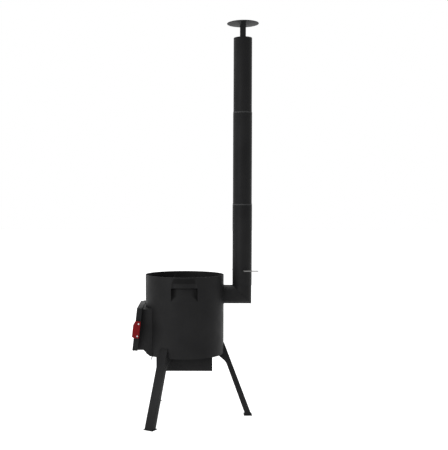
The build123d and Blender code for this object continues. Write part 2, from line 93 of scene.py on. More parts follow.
def addNoise(tree, coords, scale, detail, roughness=0.55):
    noise = tree.nodes.new("ShaderNodeTexNoise")
    noise.inputs["Scale"].default_value = scale
    noise.inputs["Detail"].default_value = detail
    noise.inputs["Roughness"].default_value = roughness
    tree.links.new(coords.outputs["Object"], noise.inputs["Vector"])
    return noise


def addRamp(tree, source, stops):
    ramp = tree.nodes.new("ShaderNodeValToRGB")
    ramp.color_ramp.elements[0].position = stops[0][0]
    ramp.color_ramp.elements[0].color = (*stops[0][1], 1)
    ramp.color_ramp.elements[1].position = stops[-1][0]
    ramp.color_ramp.elements[1].color = (*stops[-1][1], 1)
    for position, colour in stops[1:-1]:
        element = ramp.color_ramp.elements.new(position)
        element.color = (*colour, 1)
    tree.links.new(source.outputs["Fac"], ramp.inputs["Fac"])
    return ramp


def addRange(tree, source, low, high):
    spread = tree.nodes.new("ShaderNodeMapRange")
    spread.inputs["From Min"].default_value = noiseSpan["low"]
    spread.inputs["From Max"].default_value = noiseSpan["high"]
    spread.inputs["To Min"].default_value = low
    spread.inputs["To Max"].default_value = high
    tree.links.new(source.outputs["Fac"], spread.inputs["Value"])
    return spread


def addBump(tree, shader, source, strength, distance, before=None):
    bump = tree.nodes.new("ShaderNodeBump")
    bump.inputs["Strength"].default_value = strength
    bump.inputs["Distance"].default_value = distance
    tree.links.new(source.outputs["Fac"], bump.inputs["Height"])
    if before:
        tree.links.new(before.outputs["Normal"], bump.inputs["Normal"])
    tree.links.new(bump.outputs["Normal"], shader.inputs["Normal"])
    return bump


def addMark(tree, name, under, colour):
    # Where the mesh carries the mark, its colour takes the place of the one under it
    mark = tree.nodes.new("ShaderNodeAttribute")
    mark.attribute_name = name
    mix = tree.nodes.new("ShaderNodeMix")
    mix.data_type = "RGBA"
    mix.inputs["B"].default_value = (*colour, 1)
    tree.links.new(mark.outputs["Fac"], mix.inputs["Factor"])
    tree.links.new(under, mix.inputs["A"])
    return mark, mix.outputs["Result"]


# The darkest tone and the lower specular are painted shade, for the pocket's corners and the pressed lip
heatPaint = {"tones": [(0.35, (0.0092, 0.0092, 0.009568)), (0.68, (0.0138, 0.0138, 0.014214))],
             "patchScale": 7, "sheenScale": 21, "roughLow": 0.48, "roughHigh": 0.57, "specular": 0.09,
             "soot": (0.0015, 0.0015, 0.0015), "shadeSpecular": 0.03, "bareSteel": (0.085, 0.085, 0.087),
             "waveScale": 16, "grainScale": 900}


def makeHeatPaint():
    material, tree, shader, coords = newMaterial("blackHeatPaint")
    patches = addNoise(tree, coords, heatPaint["patchScale"], detail=5)
    paint = addRamp(tree, patches, heatPaint["tones"])
    # Painted shade: where the mesh carries it, the paint is darkened and its specular lowered
    paintedShade, shadedPaint = addMark(tree, "paintedShade", paint.outputs["Color"], heatPaint["soot"])
    worn = addMark(tree, "rubbed", shadedPaint, heatPaint["bareSteel"])[1]
    tree.links.new(worn, shader.inputs["Base Color"])
    dull = tree.nodes.new("ShaderNodeMapRange")
    dull.inputs["To Min"].default_value = heatPaint["specular"]
    dull.inputs["To Max"].default_value = heatPaint["shadeSpecular"]
    tree.links.new(paintedShade.outputs["Fac"], dull.inputs["Value"])
    tree.links.new(dull.outputs["Result"], shader.inputs["Specular IOR Level"])
    sheen = addNoise(tree, coords, heatPaint["sheenScale"], detail=4)
    rough = addRange(tree, sheen, heatPaint["roughLow"], heatPaint["roughHigh"])
    tree.links.new(rough.outputs["Result"], shader.inputs["Roughness"])
    waves = addNoise(tree, coords, heatPaint["waveScale"], detail=2)
    wavy = addBump(tree, shader, waves, strength=0.10, distance=0.8 * mm)
    grain = addNoise(tree, coords, heatPaint["grainScale"], detail=3)
    addBump(tree, shader, grain, strength=0.22, distance=0.2 * mm, before=wavy)
    return material


weldMetal = {"tones": [(0.3, (0.006, 0.006, 0.006)), (0.7, (0.011, 0.011, 0.012))], "rough": 0.46,
             "rippleScale": 420}


def makeWeldPaint():
    material, tree, shader, coords = newMaterial("paintedWeld")
    ripple = addNoise(tree, coords, weldMetal["rippleScale"], detail=2)
    base = addRamp(tree, ripple, weldMetal["tones"])
    tree.links.new(base.outputs["Color"], shader.inputs["Base Color"])
    shader.inputs["Roughness"].default_value = weldMetal["rough"]
    shader.inputs["Specular IOR Level"].default_value = heatPaint["specular"]
    addBump(tree, shader, ripple, strength=0.6, distance=0.6 * mm)
    return material


zincPlate = {"name": "zincPlate", "tones": [(0.3, (0.38, 0.385, 0.39)), (0.65, (0.50, 0.505, 0.51))],
             "roughLow": 0.28, "roughHigh": 0.42, "spotScale": 260, "bump": 0.15}
bareRod = {"name": "bareRod", "tones": [(0.3, (0.14, 0.138, 0.136)), (0.65, (0.22, 0.218, 0.216))],
           "roughLow": 0.38, "roughHigh": 0.55, "spotScale": 180, "bump": 0.25}


def makeMetal(metal):
    material, tree, shader, coords = newMaterial(metal["name"])
    spots = addNoise(tree, coords, metal["spotScale"], detail=6, roughness=0.65)
    ramp = addRamp(tree, spots, metal["tones"])
    tree.links.new(ramp.outputs["Color"], shader.inputs["Base Color"])
    shader.inputs["Metallic"].default_value = 1
    rough = addRange(tree, spots, metal["roughLow"], metal["roughHigh"])
    tree.links.new(rough.outputs["Result"], shader.inputs["Roughness"])
    addBump(tree, shader, spots, metal["bump"], distance=0.2 * mm)
    return material


castIron = {"tones": [(0.3, (0.012, 0.012, 0.012)), (0.6, (0.030, 0.028, 0.026)),
                      (0.75, (0.052, 0.036, 0.026))],
            "roughLow": 0.62, "roughHigh": 0.85, "blotchScale": 24, "skinScale": 420}


def makeCastIron():
    material, tree, shader, coords = newMaterial("castIron")
    blotch = addNoise(tree, coords, castIron["blotchScale"], detail=6)
    ramp = addRamp(tree, blotch, castIron["tones"])
    tree.links.new(ramp.outputs["Color"], shader.inputs["Base Color"])
    rough = addRange(tree, blotch, castIron["roughLow"], castIron["roughHigh"])
    tree.links.new(rough.outputs["Result"], shader.inputs["Roughness"])
    skin = addNoise(tree, coords, castIron["skinScale"], detail=4)
    addBump(tree, shader, skin, strength=0.7, distance=0.6 * mm)
    return material


redGrip = {"tones": [(0.3, (0.150, 0.0082, 0.0100)), (0.7, (0.178, 0.0100, 0.0125))], "roughLow": 0.46,
           "roughHigh": 0.55, "specular": 0.03, "swirlScale": 55, "grainScale": 1500}


def makeRedPlastic():
    material, tree, shader, coords = newMaterial("redGripPlastic")
    swirl = addNoise(tree, coords, redGrip["swirlScale"], detail=3)
    ramp = addRamp(tree, swirl, redGrip["tones"])
    tree.links.new(ramp.outputs["Color"], shader.inputs["Base Color"])
    rough = addRange(tree, swirl, redGrip["roughLow"], redGrip["roughHigh"])
    tree.links.new(rough.outputs["Result"], shader.inputs["Roughness"])
    shader.inputs["Specular IOR Level"].default_value = redGrip["specular"]
    grain = addNoise(tree, coords, redGrip["grainScale"], detail=2)
    addBump(tree, shader, grain, strength=0.25, distance=0.12 * mm)
    return material


materialOf = {
    "black_heat_paint": makeHeatPaint(),
    "zinc_plated_steel": makeMetal(zincPlate),
    "bare_steel_rod": makeMetal(bareRod),
    "cast_iron": makeCastIron(),
    "red_plastic": makeRedPlastic(),
}
weldPaint = makeWeldPaint()
print("materials made")


# Small helpers for modelling
roundSides = 128
samePoint = 0.01 * mm
flatAngle = radians(0.5)


def clamp(value):
    return min(max(value, 0), 1)


def makeActive(piece):
    bpy.ops.object.select_all(action="DESELECT")
    piece.select_set(True)
    bpy.context.view_layer.objects.active = piece


def freeze(piece):
    makeActive(piece)
    bpy.ops.object.transform_apply(location=True, rotation=True, scale=True)


def applyModifier(piece, kind, **settings):
    makeActive(piece)
    modifier = piece.modifiers.new(kind.title(), kind)
    for key, value in settings.items():
        setattr(modifier, key, value)
    bpy.ops.object.modifier_apply(modifier=modifier.name)


def cut(piece, tool):
    applyModifier(piece, "BOOLEAN", operation="DIFFERENCE", solver="EXACT", object=tool)
    bpy.data.objects.remove(tool, do_unlink=True)


def joinInto(piece, *others):
    makeActive(piece)
    for other in others:
        other.select_set(True)
    bpy.ops.object.join()


def editMesh(piece, *steps):
    # Runs mesh operators, each with its settings, over the whole of a piece
    makeActive(piece)
    bpy.ops.object.mode_set(mode="EDIT")
    bpy.ops.mesh.select_all(action="SELECT")
    for step, settings in steps:
        step(**settings)
    bpy.ops.object.mode_set(mode="OBJECT")


def faceOutwards(piece):
    editMesh(piece, (bpy.ops.mesh.normals_make_consistent, {"inside": False}))


def trim(piece, point, normal, keepUnder):
    # Cuts a piece through with a plane, closes the cut, and keeps what is under or over it
    editMesh(piece, (bpy.ops.mesh.bisect, {"plane_co": point, "plane_no": normal, "use_fill": True,
                                           "clear_outer": keepUnder, "clear_inner": not keepUnder}))


def smooth(piece, angle=32):
    makeActive(piece)
    bpy.ops.object.shade_smooth_by_angle(angle=radians(angle))


def roundEdges(piece, width, segments=2, angle=35):
    applyModifier(piece, "BEVEL", width=width, segments=segments, limit_method="ANGLE",
                  angle_limit=radians(angle), use_clamp_overlap=True)


def dress(piece, name, body, slot, material=None):
    # Gives a piece its name, its material (the one given, or that of its slot), and the body that it moves
    # with
    freeze(piece)
    piece.name = name
    piece.data.name = name
    piece.data.materials.clear()
    piece.data.materials.append(material or materialOf[slot])
    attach(piece, body)


def place(piece, name, node):
    # Puts a piece in the place of one node of the frame
    dress(piece, name, bodyOfNode[node], slotOfNode[node])
    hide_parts(node)


def turnTo(direction):
    return Vector((0, 0, 1)).rotation_difference(Vector(direction)).to_euler()


def rolledSheet(centre, length, radius, wall, sides=roundSides, turn=(0, 0, 0)):
    # An open pipe of rolled sheet, upright unless it is turned
    bpy.ops.mesh.primitive_cylinder_add(vertices=sides, radius=radius, depth=length,
                                        end_fill_type="NOTHING", location=centre, rotation=turn)
    pipe = bpy.context.object
    freeze(pipe)
    applyModifier(pipe, "SOLIDIFY", thickness=wall, offset=-1, use_even_offset=True)
    return pipe


def tube(low, high, radius, wall):
    # An upright pipe between two heights at the riser's axis
    return rolledSheet((riserX, 0, (low + high) / 2), high - low, radius, wall)


def block(low, high):
    low = Vector(low)
    high = Vector(high)
    bpy.ops.mesh.primitive_cube_add(size=1, location=(low + high) / 2, scale=high - low)
    cube = bpy.context.object
    freeze(cube)
    return cube


def plug(centre, direction, radius, depth, sides=96):
    bpy.ops.mesh.primitive_cylinder_add(vertices=sides, radius=radius, depth=depth, location=centre,
                                        rotation=turnTo(direction))
    cylinder = bpy.context.object
    freeze(cylinder)
    return cylinder


def softenedSheet(node, name, edge, segments):
    # The flat-sided pieces keep the frame's faces and get the rounded edge of real sheet
    source = frame["nodes"][node]
    piece = source.copy()
    piece.data = source.data.copy()
    piece.parent = None
    bpy.context.collection.objects.link(piece)
    for key in [key for key in piece.keys() if key.startswith("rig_")]:
        del piece[key]
    editMesh(piece, (bpy.ops.mesh.remove_doubles, {"threshold": samePoint}),
             (bpy.ops.mesh.dissolve_limited, {"angle_limit": flatAngle}))
    roundEdges(piece, edge, segments)
    smooth(piece)
    place(piece, name, node)


def sweep(name, route, radius, resolution, swelling=None, closed=False):
    # A round bar laid along a route, thicker and thinner by a formula where one is given
    path = bpy.data.curves.new(name, "CURVE")
    path.dimensions = "3D"
    path.bevel_depth = radius
    path.bevel_resolution = resolution
    path.use_fill_caps = True
    spline = path.splines.new("POLY")
    spline.points.add(len(route) - 1)
    for index, point in enumerate(route):
        spline.points[index].co = (*point, 1)
        if swelling:
            spline.points[index].radius = swelling(index)
    spline.use_cyclic_u = closed
    bar = bpy.data.objects.new(name, path)
    bpy.context.collection.objects.link(bar)
    makeActive(bar)
    bpy.ops.object.convert(target="MESH")
    return bpy.context.object


beadWaves = [{"size": 0.10, "pace": 2.4}, {"size": 0.05, "pace": 5.1}]


def beadSwelling(index):
    # Two waves out of step with each other, as the hand leaves them
    return 1 + sum(wave["size"] * sin(index * wave["pace"]) for wave in beadWaves)


def bead(route, radius, name, closed=False):
    # A run of weld as a rounded bead laid along its seam
    weld = sweep(name, route, radius, resolution=3, swelling=beadSwelling, closed=closed)
    smooth(weld, angle=60)
    dress(weld, name, "stove", "black_heat_paint", weldPaint)


# Drum: rolled shell with its mouth, flue hole, and two pressed-in grip pockets
# The cuts' inner and outer ends, and the flue hole's depth, are shares of the drum's radius
drum = {"wall": 3 * mm, "sides": 256, "cutInner": 0.8, "cutOuter": 1.2, "flueHoleGap": 1.2 * mm,
        "flueHoleDepth": 0.4, "seamAzimuth": 38, "seamR": 1.1 * mm, "seamSteps": 120}
pocket = {"width": 130 * mm, "low": 608 * mm, "height": 65 * mm, "backW": 66 * mm, "slit": 4 * mm,
          "depth": 16 * mm, "footEase": 0.35, "columns": 96, "rows": 60}
# How the painted shade in the pocket's corners spreads and how dark it grows
cornerShade = {"rise": 0.40, "least": 0.02, "strength": 2.2, "edge": 0.95, "even": 0.55, "fall": 1.6}
# The lip's shade is painted shade on its slanted part
lip = {"top": 722 * mm, "fold": 694 * mm, "depth": 5 * mm, "taper": 0.13, "flank": 5, "shade": 0.46,
       "shadeBlend": 3 * mm, "rows": 48}
neck = {"halfW": 117 * mm, "roofUnder": 558.7 * mm, "sill": 360 * mm, "floor": 328 * mm,
        "rampTop": 203.76 * mm, "rampFoot": 171.76 * mm, "cutInner": 0.7, "cutOuter": 1.2}


def wallOut(aside):
    # How far out the drum's wall stands at a distance aside from its axis
    return sqrt(shellR**2 - aside**2)


def bentSheet(turn, low, high, rows, outAt, shadeAt):
    # A patch of the wall, bent by formulas of the place across and the height, which also give its painted
    # shade
    bpy.ops.mesh.primitive_grid_add(x_subdivisions=pocket["columns"], y_subdivisions=rows, size=1)
    sheet = bpy.context.object
    paintedShade = sheet.data.attributes.new("paintedShade", "FLOAT", "POINT")
    for vertex in sheet.data.vertices:
        x = vertex.co.x * pocket["width"]
        z = low + (vertex.co.y + 0.5) * (high - low)
        paintedShade.data[vertex.index].value = shadeAt(x, z)
        vertex.co = Vector((stoveX - turn * x, turn * outAt(x, z), z))
    freeze(sheet)
    faceOutwards(sheet)
    if sheet.data.polygons[0].normal.y * turn < 0:
        sheet.data.flip_normals()
    applyModifier(sheet, "SOLIDIFY", thickness=drum["wall"], offset=-1, use_even_offset=True)
    return sheet


def pocketShare(x):
    # 0 at the pocket's sides and 1 where its flat back begins
    return (pocket["width"] / 2 - abs(x)) / ((pocket["width"] - pocket["backW"]) / 2)


def pocketOut(x, z):
    # The sheet is pressed in steeply from both sides of the window and gently from its foot
    side = 1 - (1 - clamp(pocketShare(x))) ** 3
    rise = (z - pocket["low"]) / (pocket["height"] - pocket["slit"])
    foot = rise - pocket["footEase"] * sin(2 * pi * rise) / (2 * pi)
    return wallOut(x) - pocket["depth"] * side * foot


def pocketShade(x, z):
    # How deep in the pocket's corners a point lies, for the painted shade that stands in for the shade
    # gathering there
    width = min((z - pocket["low"]) / (pocket["height"] * cornerShade["rise"]), 1) + cornerShade["least"]
    share = pocketShare(x) / width
    deep = cornerShade["even"] + (1 - cornerShade["even"]) * max(0, 1 - cornerShade["fall"] * share)
    return clamp(cornerShade["strength"] * (cornerShade["edge"] - share)) * deep


def lipFlank(x, z):
    # How far the pressed lip has come from its slanting ends, from 0 to 1
    up = max(0, (z - lip["fold"]) / (lip["top"] - lip["fold"]))
    share = clamp((1 - abs(x) / (pocket["width"] / 2) - lip["taper"] * up) * lip["flank"])
    return share**2 * (3 - 2 * share)


def lipOut(x, z):
    # Above the slit the wall slants in down to a fold, and goes straight down from there
    slant = min((lip["top"] - z) / (lip["top"] - lip["fold"]), 1)
    return wallOut(x) - lip["depth"] * lipFlank(x, z) * slant


def lipShade(x, z):
    # Painted shade on the slanted part, which looks down, away from the light
    near = clamp((z - lip["fold"]) / lip["shadeBlend"]) * min((lip["top"] - z) / lip["shadeBlend"], 1)
    return lip["shade"] * lipFlank(x, z) * near


def mouthSpace():
    # The space that the firing neck opens in the wall, with the ramp's slope at its foot
    outer = -shellR * neck["cutOuter"]
    inner = -shellR * neck["cutInner"]
    side = [(outer, neck["sill"]), (-neck["rampTop"], neck["sill"]), (-neck["rampFoot"], neck["floor"]),
            (inner, neck["floor"]), (inner, neck["roofUnder"]), (outer, neck["roofUnder"])]
    count = len(side)
    points = [(stoveX + x, y, z) for y in (-neck["halfW"], neck["halfW"]) for x, z in side]
    faces = [tuple(range(count)), tuple(range(2 * count - 1, count - 1, -1))]
    for first in range(count):
        after = (first + 1) % count
        faces.append((first, count + first, count + after, after))
    mesh = bpy.data.meshes.new("mouthSpace")
    mesh.from_pydata(points, [], faces)
    space = bpy.data.objects.new("mouthSpace", mesh)
    bpy.context.collection.objects.link(space)
    faceOutwards(space)
    return space


def makeDrum():
    low = shellLow.z
    high = shellHigh.z
    shell = rolledSheet((stoveX, 0, (low + high) / 2), high - low, shellR, drum["wall"], drum["sides"])
    cut(shell, mouthSpace())
    cut(shell, plug((stoveX + shellR, 0, flueZ), (1, 0, 0), flueR - drum["flueHoleGap"],
                    shellR * drum["flueHoleDepth"]))
    halfW = pocket["width"] / 2
    windowTop = pocket["low"] + pocket["height"]
    patches = []
    for turn in (-1, 1):
        nearY, farY = sorted((turn * shellR * drum["cutInner"], turn * shellR * drum["cutOuter"]))
        cut(shell, block((stoveX - halfW, nearY, pocket["low"]), (stoveX + halfW, farY, lip["top"])))
        patches.append(bentSheet(turn, pocket["low"], windowTop - pocket["slit"], pocket["rows"], pocketOut,
                                 pocketShade))
        patches.append(bentSheet(turn, windowTop, lip["top"], lip["rows"], lipOut, lipShade))
    joinInto(shell, *patches)
    smooth(shell, angle=40)
    place(shell, "drumShell", "body_shell")
    azimuth = radians(drum["seamAzimuth"])
    seamX = stoveX + shellR * cos(azimuth)
    seamY = shellR * sin(azimuth)
    steps = drum["seamSteps"]
    seam = [(seamX, seamY, low + (high - low) * step / steps) for step in range(steps + 1)]
    bead(seam, drum["seamR"], "drumSeamWeld")
    print("drum done")


makeDrum()

# Chimney: three pipes that stand in each other
# The upper two have a stop bead near the foot, and the lower two a rubbed rim at the top
chimney = {"wall": 1.2 * mm, "edge": 0.35 * mm, "insert": 50 * mm, "beadH": 5 * mm, "beadProud": 1.2 * mm,
           "beadSunk": 0.18 * mm, "beadSides": 16, "beadRub": 0.3, "beadRubH": 2.1 * mm, "rimH": 2.6 * mm,
           "rimProud": 0.12 * mm, "rimEdge": 0.28 * mm, "rodHoleR": 3.05 * mm, "rodHoleL": 200 * mm}


def markRubbed(piece, shareAt):
    rubbed = piece.data.attributes.new("rubbed", "FLOAT", "POINT")
    for vertex in piece.data.vertices:
        rubbed.data[vertex.index].value = shareAt(vertex.co)


def crestRub(point):
    # The paint is rubbed off the crest where the pipes are put together
    return chimney["beadRub"] * max(0, 1 - abs(point.z) / chimney["beadRubH"])


def roundBead(z, radius):
    # The stop bead is a half-round rib rolled outwards in the pipe's wall
    half = chimney["beadH"] / 2
    middle = radius - chimney["beadSunk"]
    crest = radius + chimney["beadProud"]
    bpy.ops.mesh.primitive_torus_add(major_segments=roundSides, minor_segments=chimney["beadSides"],
                                     location=(riserX, 0, z + half), major_radius=middle, minor_radius=half)
    rib = bpy.context.object
    # Its round section is flattened until the crest stands as proud as a rolled bead
    for vertex in rib.data.vertices:
        across = Vector((vertex.co.x, vertex.co.y)).length
        wanted = middle + (across - middle) * (crest - middle) / half
        vertex.co.x *= wanted / across
        vertex.co.y *= wanted / across
    markRubbed(rib, crestRub)
    freeze(rib)
    return rib


def rubbedRim(top, radius):
    # The cut rim of a lower pipe is scraped bright by the pipe that is pushed into it
    proud = chimney["rimProud"]
    rim = tube(top - chimney["rimH"], top, radius + proud, chimney["wall"] + proud)
    markRubbed(rim, lambda point: 1)
    roundEdges(rim, chimney["rimEdge"], angle=60)
    return rim


def makePipe(node, hasBead, hasRim):
    low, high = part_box(node)
    radius = (high.y - low.y) / 2
    if hasBead:
        radius -= chimney["beadProud"]
    # The pipes' radii are whole halves of a millimetre
    radius = round(radius / mm * 2) / 2 * mm
    pipe = tube(low.z, high.z, radius, chimney["wall"])
    roundEdges(pipe, chimney["edge"], angle=60)
    if hasBead:
        joinInto(pipe, roundBead(low.z + chimney["insert"], radius))
    if hasRim:
        joinInto(pipe, rubbedRim(high.z, radius))
    return pipe


def makeChimney():
    lower = makePipe("chimney_pipe_lower", hasBead=False, hasRim=True)
    rodLow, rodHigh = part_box("damper_rod")
    cut(lower, plug((riserX, 0, (rodLow.z + rodHigh.z) / 2), (0, 1, 0), chimney["rodHoleR"],
                    chimney["rodHoleL"], sides=48))
    smooth(lower, angle=40)
    place(lower, "lowerPipe", "chimney_pipe_lower")
    middle = makePipe("chimney_pipe_middle", hasBead=True, hasRim=True)
    smooth(middle, angle=50)
    place(middle, "middlePipe", "chimney_pipe_middle")
    upper = makePipe("chimney_pipe_upper", hasBead=True, hasRim=False)
    smooth(upper, angle=50)
    place(upper, "upperPipe", "chimney_pipe_upper")
    print("chimney done")


makeChimney()

# Elbow: a stub off the drum and a riser, mitred and welded
elbow = {"wall": 1.2 * mm, "overrun": 1.2, "drumSides": 512, "drumDepth": 300 * mm, "mitreR": 1.1 * mm,
         "mitreSteps": 160, "stubR": 1.8 * mm, "stubSteps": 120}


def makeElbow():
    overrun = flueR * elbow["overrun"]
    length = riserX + overrun - stoveX
    stub = rolledSheet((stoveX + length / 2, 0, flueZ), length, flueR, elbow["wall"], turn=(0, pi / 2, 0))
    bpy.ops.mesh.primitive_cylinder_add(vertices=elbow["drumSides"], radius=shellR, depth=elbow["drumDepth"],
                                        location=(stoveX, 0, flueZ))
    envelope = bpy.context.object
    freeze(envelope)
    riser = tube(flueZ - overrun, riserHigh.z, flueR, elbow["wall"])
    meeting = (riserX, 0, flueZ)
    halfway = (sqrt(0.5), 0, sqrt(0.5))
    trim(stub, meeting, halfway, keepUnder=True)
    trim(riser, meeting, halfway, keepUnder=False)
    cut(stub, envelope)
    smooth(stub, angle=40)
    smooth(riser, angle=40)
    place(stub, "flueStub", "flue_stub")
    place(riser, "flueRiser", "flue_riser")
    mitre = []
    for step in range(elbow["mitreSteps"]):
        a = 2 * pi * step / elbow["mitreSteps"]
        mitre.append((riserX + flueR * cos(a), flueR * sin(a), flueZ - flueR * cos(a)))
    bead(mitre, elbow["mitreR"], "elbowWeld", closed=True)
    ring = []
    for step in range(elbow["stubSteps"]):
        a = 2 * pi * step / elbow["stubSteps"]
        y = flueR * cos(a)
        ring.append((stoveX + wallOut(y), y, flueZ + flueR * sin(a)))
    bead(ring, elbow["stubR"], "stubWeld", closed=True)
    print("elbow done")


makeElbow()

# Pieces of cut and folded sheet, and cast or moulded ones, keep the frame's faces
# Each node has the width in millimetres by which its edges are rounded
edgeOf = {
    "body_floor": 0.5, "neck_wall_near": 0.5, "neck_wall_far": 0.5, "neck_roof": 0.4, "neck_ramp": 0.4,
    "door_frame": 0.5, "hinge_bracket_upper": 0.5, "hinge_bracket_lower": 0.5, "hinge_eye_upper": 0.3,
    "hinge_eye_lower": 0.3, "door_eye_upper": 0.3, "door_eye_lower": 0.3, "hinge_pin_upper": 0.2,
    "hinge_pin_lower": 0.2, "door_pan": 0.5, "ash_box": 0.5, "ash_drawer_tray": 0.4, "ash_drawer_front": 0.5,
    "leg_rear": 0.8, "leg_near": 0.8, "leg_far": 0.8, "foot_rear": 0.7, "foot_near": 0.7, "foot_far": 0.7,
    "cap_strap_front": 0.3, "cap_strap_rear": 0.3, "damper_disc": 0.3, "grate": 1.4, "door_grip": 1.6,
}
ownName = {"body_floor": "drumFloor", "ash_drawer_tray": "ashTray", "grate": "fireGrate"}
edgeSegments = {"door_grip": 4}


def pieceName(node):
    words = node.split("_")
    return ownName.get(node, words[0] + "".join(word.title() for word in words[1:]))


for node, edge in edgeOf.items():
    softenedSheet(node, pieceName(node), edge * mm, edgeSegments.get(node, 2))
print("sheet pieces done")

# Rain cap: a round disc with rounded edges
cap = {"edge": 0.5 * mm, "edgeSegments": 3}


def makeCap():
    low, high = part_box("cap_disc")
    disc = plug((low + high) / 2, (0, 0, 1), (high.y - low.y) / 2, high.z - low.z, roundSides)
    roundEdges(disc, cap["edge"], cap["edgeSegments"], angle=60)
    smooth(disc, angle=40)
    place(disc, "capDisc", "cap_disc")


makeCap()

# Bent rods: the damper's axle with its handle, and the drawer's wire bail
damperRod = {"radius": 3 * mm, "bend": 7 * mm}
bail = {"radius": 1.5 * mm, "bend": 5 * mm, "topGap": 0.3 * mm}
bendSteps = 8


def bentRod(corners, radius, bend, name, node):
    corners = [Vector(corner) for corner in corners]
    route = [corners[0]]
    for before, middle, after in zip(corners, corners[1:], corners[2:]):
        towards = (before - middle).normalized()
        onwards = (after - middle).normalized()
        reach = bend / tan(towards.angle(onwards) / 2)
        start = middle + towards * reach
        end = middle + onwards * reach
        for step in range(bendSteps + 1):
            share = step / bendSteps
            route.append(start.lerp(middle, share).lerp(middle.lerp(end, share), share))
    route.append(corners[-1])
    rod = sweep(name, route, radius, resolution=6)
    smooth(rod, angle=50)
    place(rod, name, node)


def makeRods():
    low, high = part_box("damper_rod")
    z = (low.z + high.z) / 2
    y = low.y + damperRod["radius"]
    bentRod([(riserX, high.y, z), (riserX, y, z), (high.x, y, z)], damperRod["radius"], damperRod["bend"],
            "damperRod", "damper_rod")
    low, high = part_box("ash_drawer_bail")
    wire = bail["radius"]
    topX = high.x - wire
    lowX = low.x + wire
    topZ = high.z - bail["topGap"]
    lowZ = low.z + wire
    nearY = low.y + wire
    farY = high.y - wire
    bentRod([(topX, nearY, topZ), (lowX, nearY, lowZ), (lowX, farY, lowZ), (topX, farY, topZ)],
            wire, bail["bend"], "drawerBail", "ash_drawer_bail")
    print("rods done")


makeRods()

# Small fasteners: the grip's screws and nuts, the damper's stop rivet and the cap's rivets
door = {"tilt": 6.5, "midX": -246.8 * mm, "midZ": 466.2 * mm, "halfW": 150 * mm, "sheet": 2 * mm,
        "gripT": 18 * mm}
screw = {"back": 18 * mm, "pitch": 61.4 * mm, "shankR": 2.5 * mm, "pastSheet": 6 * mm, "headR": 4 * mm,
         "headH": 1.6 * mm, "headEdge": 0.6 * mm, "slotL": 4.6 * mm, "slotW": 1.0 * mm, "slotDepth": 0.9 * mm,
         "slotOver": 1 * mm}
nut = {"across": 8 * mm, "height": 4 * mm, "threadGap": 0.02 * mm, "edge": 0.3 * mm}
stopRivet = {"headR": 3.2 * mm, "headH": 1.6 * mm, "sunk": 0.1 * mm, "shankR": 2.4 * mm}
capRivet = {"drop": 11 * mm, "pipeR": 46.5 * mm, "strapR": 42.1 * mm, "headR": 3.6 * mm, "headH": 1.2 * mm,
            "sunk": 0.2 * mm, "shankR": 2 * mm, "shankL": 4.2 * mm}


def doorPoint(up, inwards, y):
    # A point of the door, from the middle of its outer face
    tilt = radians(door["tilt"])
    return Vector((stoveX + door["midX"] + inwards * cos(tilt) + up * sin(tilt), y,
                   door["midZ"] - inwards * sin(tilt) + up * cos(tilt)))


def domedHead(centre, direction, radius, height):
    # A flattened half ball, closed at its foot
    bpy.ops.mesh.primitive_uv_sphere_add(segments=32, ring_count=16, radius=radius)
    head = bpy.context.object
    trim(head, (0, 0, 0), (0, 0, 1), keepUnder=False)
    head.scale = (1, 1, height / radius)
    head.rotation_euler = turnTo(direction)
    head.location = centre
    freeze(head)
    return head


def gripScrew(outer):
    # A round-headed screw with a cross slot, its head against the grip's outer face
    middle = outer - Vector((0, screw["headH"] / 2, 0))
    head = plug(middle, (0, -1, 0), screw["headR"], screw["headH"], sides=48)
    roundEdges(head, screw["headEdge"], segments=4, angle=60)
    slotY = -screw["headH"]
    for wide, tall in ((screw["slotL"], screw["slotW"]), (screw["slotW"], screw["slotL"])):
        cut(head, block(outer + Vector((-wide / 2, slotY - screw["slotOver"], -tall / 2)),
                        outer + Vector((wide / 2, slotY + screw["slotDepth"], tall / 2))))
    length = door["gripT"] + door["sheet"] + screw["pastSheet"]
    joinInto(head, plug(outer + Vector((0, length / 2, 0)), (0, 1, 0), screw["shankR"], length, sides=32))
    return head


def gripNut(seat):
    piece = plug(seat, (0, 1, 0), nut["across"] / sqrt(3), nut["height"], sides=6)
    cut(piece, plug(seat, (0, 1, 0), screw["shankR"] + nut["threadGap"], nut["height"] * 2, sides=32))
    roundEdges(piece, nut["edge"], angle=45)
    return piece


def makeGripScrews():
    ups = (screw["pitch"] / 2, -screw["pitch"] / 2)
    faceY = -door["halfW"] - door["gripT"]
    screws = [gripScrew(doorPoint(up, screw["back"], faceY)) for up in ups]
    joinInto(*screws)
    smooth(screws[0], angle=40)
    place(screws[0], "gripScrews", "grip_screws")
    seatY = -door["halfW"] + door["sheet"] + nut["height"] / 2
    nuts = [gripNut(doorPoint(up, screw["back"], seatY)) for up in ups]
    joinInto(*nuts)
    smooth(nuts[0], angle=40)
    dress(nuts[0], "gripNuts", "door", "zinc_plated_steel")


def makeStopRivet():
    low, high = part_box("damper_stop_rivet")
    z = (low.z + high.z) / 2
    faceX = pipeLow.x
    seat = (faceX - stopRivet["sunk"], 0, z)
    head = domedHead(seat, (-1, 0, 0), stopRivet["headR"], stopRivet["headH"])
    shank = plug(((faceX + high.x) / 2, 0, z), (1, 0, 0), stopRivet["shankR"], high.x - faceX, sides=32)
    joinInto(head, shank)
    smooth(head, angle=50)
    place(head, "damperStopRivet", "damper_stop_rivet")


